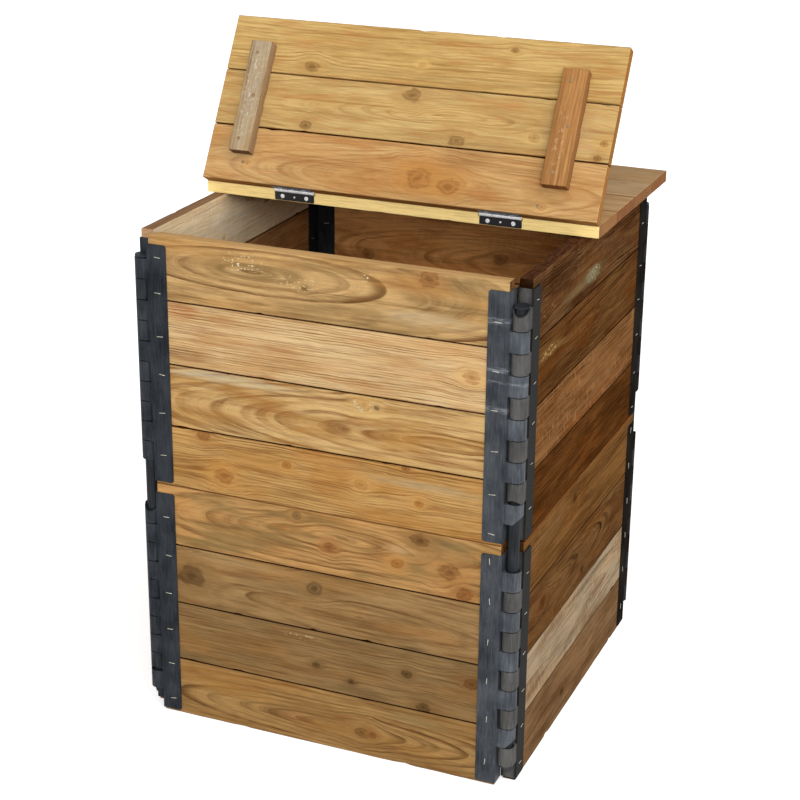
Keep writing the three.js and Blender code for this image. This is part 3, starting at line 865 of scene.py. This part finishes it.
def look_of(wall, tier, row, seed):
    if wall == "front":
        return FRONT_LOOKS[tier, row]
    if wall == "right":
        return RIGHT_LOOKS[tier, row]
    if (wall, tier, row) == ("left", "upper", 1):
        return LEFT_TOP_LOOK
    edge = tone(146, 98, 58) if row == 1 else None
    light, dark = PLAIN_TONES[wall]
    return plain_look(light, dark, seed, edge)


WALL_EASE = 0.7 * MM
PLAIN_WEAR = {"wear": 0.3 * MM}
RAGGED_WEAR = {"wear": 1.1 * MM, "chips": 24, "step": 4 * MM, "top_only": True}

for quarter, wall in enumerate(WALLS):
    for level, tier in enumerate(TIERS):
        for row in range(1, ROWS + 1):
            node = f"{tier}_{wall}_board_{row}"
            seed = 1 + quarter * 8 + level * 4 + row
            middle = level * TIER_HEIGHT + (ROWS - row) * BOARD_PITCH + BOARD_WIDTH / 2
            swelling = 0 if row == 1 else SEAM_SWELLING[wall]
            width = BOARD_WIDTH + swelling
            home = wall_home(quarter, 0, -WOOD_FACE, middle + swelling / 2)
            grown = wood(f"{node}_wood", home, look_of(wall, tier, row, seed), seed, width, row == 1)
            wearing = RAGGED_WEAR if (wall, tier, row) == ("right", "upper", 1) else PLAIN_WEAR
            bm = plank_mesh(home, BOARD_LENGTH, width, BOARD_THICKNESS, seed, WALL_EASE, **wearing)
            add_piece(f"{node}_plank", bm, grown, "bin", [node])

# Corners
PINS = {"front_left": (-1, -1), "front_right": (1, -1), "rear_right": (1, 1), "rear_left": (-1, 1)}
UP = Vector((0, 0, 1))
SCUFFS = [(722, 7, 0.5), (652, 5, 0.5), (594, 6, 0.45), (634, 4, 0.25)]
# Copies of one plastic, lit and shaded by corner: the front right ones are the lit copies, the front left,
# right wall and shaded ones are darker as painted shade, and the right wall's front knuckles get a strong
# painted highlight
FRONT_RIGHT_PLASTIC, SCUFFED_PLASTIC = (
    moulded_plastic(name, tone(38, 41, 45), tone(78, 82, 87), 0.08, scuffs, PINS["front_right"], 1.55)
    for name, scuffs in (("front_right_plastic", ()), ("scuffed_plastic", SCUFFS)))
RIGHT_LEFT_PLASTIC = moulded_plastic(
    "right_left_plastic", tone(24, 24, 23), tone(42, 41, 40), 0.01, pin=PINS["front_right"], sheen_gain=5.4)
RIGHT_REAR_PLASTIC = moulded_plastic("right_rear_plastic", tone(20, 18, 16), tone(46, 42, 38), 0.0)
FRONT_LEFT_PLASTIC = moulded_plastic(
    "front_left_plastic", tone(24, 27, 31), tone(56, 59, 64), 0.05, pin=PINS["front_left"], sheen_gain=1.2)
SHADED_PLASTIC = moulded_plastic("shaded_plastic", tone(26, 27, 28), tone(54, 54, 55), 0.02)
# Darker than the lit plastic: painted shade for the rod where it shows in the gaps between the knuckles
ROD_PLASTIC = moulded_plastic("rod_plastic", tone(28, 30, 33), tone(52, 55, 60), 0.06)

# The plastic by wall and end, where it isn't the shaded one. All are copies of one plastic, whose tones are
# painted light and shade for how the lamps fall on that corner
PLASTICS = {("front", "right"): FRONT_RIGHT_PLASTIC, ("front", "left"): FRONT_LEFT_PLASTIC,
            ("left", "right"): FRONT_LEFT_PLASTIC, ("right", "left"): RIGHT_LEFT_PLASTIC,
            ("right", "right"): RIGHT_REAR_PLASTIC}
PROFILES = [(quarter, wall, tier, end)
            for quarter, wall in enumerate(WALLS) for tier in TIERS for end in ENDS]

for quarter, wall, tier, end in PROFILES:
    node = f"{tier}_{wall}_{end}_profile"
    bm = merged_copy(node)
    pin = wall_home(quarter, ENDS[end] * PIN_PLACE, -PIN_PLACE, 0).to_translation()
    finer(bm, pin, UP, KNUCKLE_RADIUS)
    finer(bm, pin, UP, BORE_RADIUS)
    out = wall_home(quarter, 0, 0, 0).to_3x3() @ UP
    for vert in bm.verts:
        if (vert.co - BIN_CENTRE).dot(out) > LEAF_FACE - 0.01 * MM:
            vert.co -= out * LEAF_RECESS
    plastic = PLASTICS.get((wall, end), SHADED_PLASTIC)
    if node == "upper_front_right_profile":
        plastic = SCUFFED_PLASTIC
    moulding = add_piece(f"{node}_moulding", bm, plastic, "bin", [node], smooth_below=25)
    round_edges(moulding, 0.5 * MM)

for corner, (x, y) in PINS.items():
    node = f"{corner}_rod"
    bm = merged_copy(node)
    finer(bm, IN_PLACE @ Vector((x * PIN_PLACE, y * PIN_PLACE, 0)), UP, CAP_RADIUS)
    ribbed = add_piece(f"{node}_ribbed", bm, ROD_PLASTIC, "bin", [node], smooth_below=30)
    round_edges(ribbed, 0.3 * MM, limit=50)

# Staples that hold the profiles to the boards, at these heights in millimetres
STAPLE_HEIGHTS = {
    ("upper", "right"): (720.5, 649.6, 592.8, 532.3, 467.0, 406.8),
    ("lower", "right"): (364.0, 300.8, 235.4, 172.2, 108.9, 37.4),
    ("upper", "left"): (745.7, 691.9, 625.3, 566.2, 505.3, 437.6),
    ("lower", "left"): (336.0, 271.7, 207.4, 145.1, 85.4, 23.6),
}
STAPLE_STEEL = zinc_steel("staple_steel", tone(206, 200, 180), 0.4, 0.6)


def add_staple(bm, home):
    made = bmesh.ops.create_cube(bm, size=1)["verts"]
    bmesh.ops.scale(bm, vec=(STAPLE_CROWN, STAPLE_WIRE, STAPLE_WIRE), verts=made)
    edges = list({edge for vert in made for edge in vert.link_edges})
    rounded = bmesh.ops.bevel(bm, geom=edges, offset=STAPLE_WIRE * 0.3, segments=1, profile=0.5,
                              affect="EDGES", material=-1)
    bmesh.ops.transform(bm, matrix=home, verts=rounded["verts"])


def staples_mesh(quarter, side, heights, upright, seed):
    bm = bmesh.new()
    draw = random.Random(seed)
    for height in heights:
        tilt = draw.uniform(-STAPLE_TILT, STAPLE_TILT) + (QUARTER_TURN if upright else 0)
        x = side * (STAPLE_PLACE + draw.uniform(-STAPLE_STRAY, STAPLE_STRAY))
        for face in (LEAF_FACE - LEAF_RECESS - STAPLE_SINK, INNER_LEAF_FACE + STAPLE_SINK):
            add_staple(bm, wall_home(quarter, x, -face, height * MM) @ Matrix.Rotation(tilt, 4, "Z"))
    return bm


for quarter, wall, tier, end in PROFILES:
    upright = (tier, end) == ("lower", "right")
    bm = staples_mesh(quarter, ENDS[end], STAPLE_HEIGHTS[tier, end], upright, f"{tier}{wall}{end}")
    add_piece(f"{tier}_{wall}_{end}_staples", bm, STAPLE_STEEL, "bin")

# Lid: each half, named after its body, with its rows of screws in millimetres and its first seed
HALVES = {
    "lid_rear": SimpleNamespace(
        node="lid_rear_panel", placed=IN_PLACE, turned=False, limits=REAR_LIMITS, looks=REAR_LOOKS, seed=40,
        battens=REAR_BATTENS, screws=(12, 84, 176, 248)),
    "flap": SimpleNamespace(
        node="flap_panel", placed=OPEN_FLAP, turned=True, limits=FLAP_LIMITS, looks=FLAP_LOOKS, seed=50,
        battens=FLAP_BATTENS, screws=(-256, -188, -118)),
}
BATTENS = {
    "left": SimpleNamespace(across=LEFT_BATTEN, look=LEFT_BATTEN_LOOK, seed=61),
    "right": SimpleNamespace(across=RIGHT_BATTEN, look=RIGHT_BATTEN_LOOK, seed=62),
}
HINGE_STRETCHES = [(side * HINGE_OFFSET - HINGE_LENGTH / 2 - MM, side * HINGE_OFFSET + HINGE_LENGTH / 2 + MM)
                   for side in ENDS.values()]
DOWNWARDS = Matrix.Rotation(HALF_TURN, 4, "X")


def lid_boards(body, half):
    """The boards of a half of the lid, from its front edge to its back edge. The flap's are turned over."""
    width = (half.limits[1] - half.limits[0] - (len(half.looks) - 1) * LID_BOARD_GAP) / len(half.looks)
    for row, look in enumerate(half.looks):
        name = f"{body}_board_{row + 1}"
        middle = half.limits[0] + row * (width + LID_BOARD_GAP) + width / 2
        home = half.placed @ Matrix.Translation((LID_CENTRE, middle, LID_BOTTOM if half.turned else LID_TOP))
        if half.turned:
            home = home @ DOWNWARDS
        seed = half.seed + row
        let_in = (-1, HINGE_STRETCHES) if row == 0 and not half.turned else None
        bm = plank_mesh(home, LID_RIGHT - LID_LEFT, width, LID_TOP - LID_BOTTOM, seed, 0.8 * MM, 0.25 * MM,
                        let_in=let_in)
        grown = wood(f"{name}_wood", home, look, seed, width)
        round_edges(add_piece(name, bm, grown, body, [half.node]), 0.7 * MM, limit=60)


def batten(body, half, side, strip):
    """A strip of wood under the boards, across them."""
    width = strip.across[1] - strip.across[0]
    middle = (sum(strip.across) / 2, sum(half.battens) / 2, LID_BOTTOM - BATTEN_THICKNESS)
    home = half.placed @ Matrix.Translation(middle) @ DOWNWARDS @ Matrix.Rotation(QUARTER_TURN, 4, "Z")
    name = f"{body}_{side}_batten"
    grown = wood(f"{name}_wood", home, strip.look, strip.seed, width)
    length = half.battens[1] - half.battens[0]
    bm = plank_mesh(home, length, width, BATTEN_THICKNESS, strip.seed, MM, 0.8 * MM)
    round_edges(add_piece(name, bm, grown, body, [half.node]), 0.8 * MM, limit=60)


def hung_screw(bm, placed, x, y, z, turn):
    """A screw head on the underside of the lid."""
    home = placed @ Matrix.Translation((x, y, z)) @ DOWNWARDS @ Matrix.Rotation(turn, 4, "Z")
    screw_head(bm, home, SCREW_RADIUS)


for body, half in HALVES.items():
    lid_boards(body, half)
for body, half in HALVES.items():
    for side, strip in BATTENS.items():
        batten(body, half, side, strip)

# Screws in the battens, in two staggered lines, and two more in the flap's boards
SCREW_STEEL = zinc_steel("screw_steel", tone(150, 122, 88), 0.6, 0.5)
FLAP_BOARD_SCREWS = [(-248.5, -86.7), (231.1, -71.8)]
for body, half in HALVES.items():
    for side, strip in BATTENS.items():
        bm = bmesh.new()
        for count, y in enumerate(half.screws):
            x = sum(strip.across) / 2 + (5 if count % 2 else -4) * MM
            hung_screw(bm, half.placed, x, y * MM, LID_BOTTOM - BATTEN_THICKNESS, count * 0.9 + 0.3)
        add_piece(f"{body}_{side}_batten_screws", bm, SCREW_STEEL, body)
bm = bmesh.new()
for count, (x, y) in enumerate(FLAP_BOARD_SCREWS):
    hung_screw(bm, OPEN_FLAP, x * MM, y * MM, LID_BOTTOM, count + 0.5)
add_piece("flap_board_screws", bm, SCREW_STEEL, "flap")

# Hinges
PLATE_STEEL = zinc_steel("hinge_plate_steel", tone(88, 92, 98), 0.35)
# The barrel, pin and screw heads are near white and hardly metallic, so they stay bright under any lamp: a
# painted glint of the zinc
BARREL_STEEL = zinc_steel("hinge_barrel_steel", tone(252, 252, 253), 0.5, 0.2)
BRIGHT_SCREW_STEEL = zinc_steel("hinge_screw_steel", tone(252, 252, 252), 0.4, 0.15)


def hinge_leaf(placed, centre, side_of_axis):
    """A plate with rounded lower corners against the edge of the lid, and its segments of the barrel."""
    bm = bmesh.new()
    middle = HINGE_AXIS.y + side_of_axis * (HINGE_PLATE_GAP + HINGE_PLATE) / 2
    made = bmesh.ops.create_cube(bm, size=1)["verts"]
    bmesh.ops.scale(bm, vec=(HINGE_LENGTH, HINGE_PLATE, HINGE_PLATE_TOP - HINGE_FOOT), verts=made)
    corners = [edge for edge in bm.edges if abs(edge.verts[0].co.y - edge.verts[1].co.y) > HINGE_PLATE / 2]
    bmesh.ops.bevel(bm, geom=corners, offset=PLATE_CORNER_RADIUS, segments=4, profile=0.5, affect="EDGES",
                    material=-1)
    bmesh.ops.translate(bm, vec=(centre, middle, (HINGE_PLATE_TOP + HINGE_FOOT) / 2), verts=bm.verts)
    length = HINGE_LENGTH / BARREL_SEGMENTS
    for segment in range(0 if side_of_axis > 0 else 1, BARREL_SEGMENTS, 2):
        start = centre - HINGE_LENGTH / 2 + segment * length + BARREL_SEGMENT_GAP / 2
        stop = start + length - BARREL_SEGMENT_GAP
        neck = bmesh.ops.create_cube(bm, size=1)["verts"]
        bmesh.ops.scale(bm, vec=(stop - start, HINGE_PLATE, NECK_HEIGHT), verts=neck)
        bmesh.ops.translate(bm, vec=((start + stop) / 2, middle, HINGE_PLATE_TOP + NECK_RISE), verts=neck)
        axis = Vector((0, HINGE_AXIS.y, HINGE_AXIS.z))
        half_section = [(start, HINGE_PIN_RADIUS + PIN_CLEARANCE), (start, BARREL_RADIUS - BARREL_CHAMFER),
                        (start + BARREL_CHAMFER, BARREL_RADIUS), (stop - BARREL_CHAMFER, BARREL_RADIUS),
                        (stop, BARREL_RADIUS - BARREL_CHAMFER), (stop, HINGE_PIN_RADIUS + PIN_CLEARANCE)]
        ring = [bm.verts.new(axis + Vector((x, 0, z))) for x, z in half_section]
        loop = [bm.edges.new(pair) for pair in zip(ring, ring[1:] + ring[:1])]
        before = set(bm.faces)
        bmesh.ops.spin(bm, geom=ring + loop, cent=axis, axis=(1, 0, 0), angle=2 * HALF_TURN, steps=32,
                       use_merge=True)
        barrel = [face for face in bm.faces if face not in before]
        bmesh.ops.recalc_face_normals(bm, faces=barrel)
        for face in barrel:
            face.material_index = 1
    bm.transform(placed)
    return bm


for name, side in ENDS.items():
    centre = LID_CENTRE + side * HINGE_OFFSET
    for part, body, side_of_axis in (("fixed", "lid_rear", 1), ("flap", "flap", -1)):
        placed = HALVES[body].placed
        bm = hinge_leaf(placed, centre, side_of_axis)
        leaf = add_piece(f"{name}_hinge_{part}_leaf", bm, [PLATE_STEEL, BARREL_STEEL], body,
                         [f"{name}_hinge_{part}_plate"], smooth_below=30)
        round_edges(leaf, 0.2 * MM, 1, limit=60)
        screws = bmesh.new()
        face = HINGE_AXIS.y + side_of_axis * HINGE_PLATE_GAP / 2
        outward = Matrix.Rotation(side_of_axis * QUARTER_TURN, 4, "X")
        flattened = Matrix.Diagonal((1, 1, HINGE_HEAD_FLATNESS, 1))
        for place, radius in HINGE_HEADS:
            home = placed @ Matrix.Translation((centre + place, face, HINGE_HEAD_HEIGHT)) @ outward @ (
                Matrix.Rotation(place * 40 + 0.4, 4, "Z")) @ flattened
            screw_head(screws, home, radius)
        add_piece(f"{name}_hinge_{part}_screws", screws, BRIGHT_SCREW_STEEL, body)
    bm = bmesh.new()
    bmesh.ops.create_cone(bm, cap_ends=True, segments=20, radius1=HINGE_PIN_RADIUS, radius2=HINGE_PIN_RADIUS,
                          depth=HINGE_LENGTH)
    ends = [edge for edge in bm.edges if abs(edge.verts[0].co.z - edge.verts[1].co.z) < MM]
    bmesh.ops.bevel(bm, geom=ends, offset=BARREL_CHAMFER, segments=2, profile=0.5, affect="EDGES",
                    material=-1)
    bm.transform(IN_PLACE @ Matrix.Translation((centre, HINGE_AXIS.y, HINGE_AXIS.z)) @ (
        Matrix.Rotation(QUARTER_TURN, 4, "Y")))
    add_piece(f"{name}_hinge_round_pin", bm, BARREL_STEEL, "lid_rear", [f"{name}_hinge_pin"])

# Ground, light and camera
bpy.ops.mesh.primitive_plane_add(size=GROUND_SIZE)
ground = bpy.context.object
ground.name = "ground"
ground.data.materials.append(pale_ground())

studio = Finish(bpy.data.worlds.new("studio"))
strength = studio.seen() * (1 - STUDIO_LIGHT) + STUDIO_LIGHT
background = studio.node("Background", {}, {"Color": (1.0, 1.0, 1.0, 1.0), "Strength": strength})
studio.close(background, "OutputWorld")
bpy.context.scene.world = studio.owner


def soft_sun(name, azimuth, elevation, spread, level):
    """A lamp far away, that many degrees wide, so that its shadows are soft."""
    lamp = bpy.data.lights.new(name, "SUN")
    lamp.energy = level
    lamp.angle = math.radians(spread)
    holder = bpy.data.objects.new(name, lamp)
    bpy.context.scene.collection.objects.link(holder)
    holder.matrix_world = Matrix.Rotation(math.radians(azimuth), 4, "Z") @ (
        Matrix.Rotation(math.radians(90 - elevation), 4, "X"))


soft_sun("key_lamp", KEY_AZIMUTH, KEY_ELEVATION, KEY_SPREAD, KEY_LIGHT)
soft_sun("fill_lamp", FILL_AZIMUTH, FILL_ELEVATION, FILL_SPREAD, FILL_LIGHT)

camera = bpy.data.objects.new("camera", bpy.data.cameras.new("camera"))
bpy.context.scene.collection.objects.link(camera)
camera.data.lens = LENS
camera.data.sensor_width = SENSOR_WIDTH
camera.data.clip_start = 0.1
camera.data.clip_end = 60
turned = Matrix.Rotation(math.radians(CAMERA_AZIMUTH), 4, "Z")
dipped = Matrix.Rotation(math.radians(90 - CAMERA_DIP), 4, "X")
rolled = Matrix.Rotation(math.radians(CAMERA_ROLL), 4, "Z")
camera.matrix_world = Matrix.Translation(CAMERA_PLACE) @ turned @ dipped @ rolled
bpy.context.scene.camera = camera
bpy.context.scene.view_settings.view_transform = "Standard"
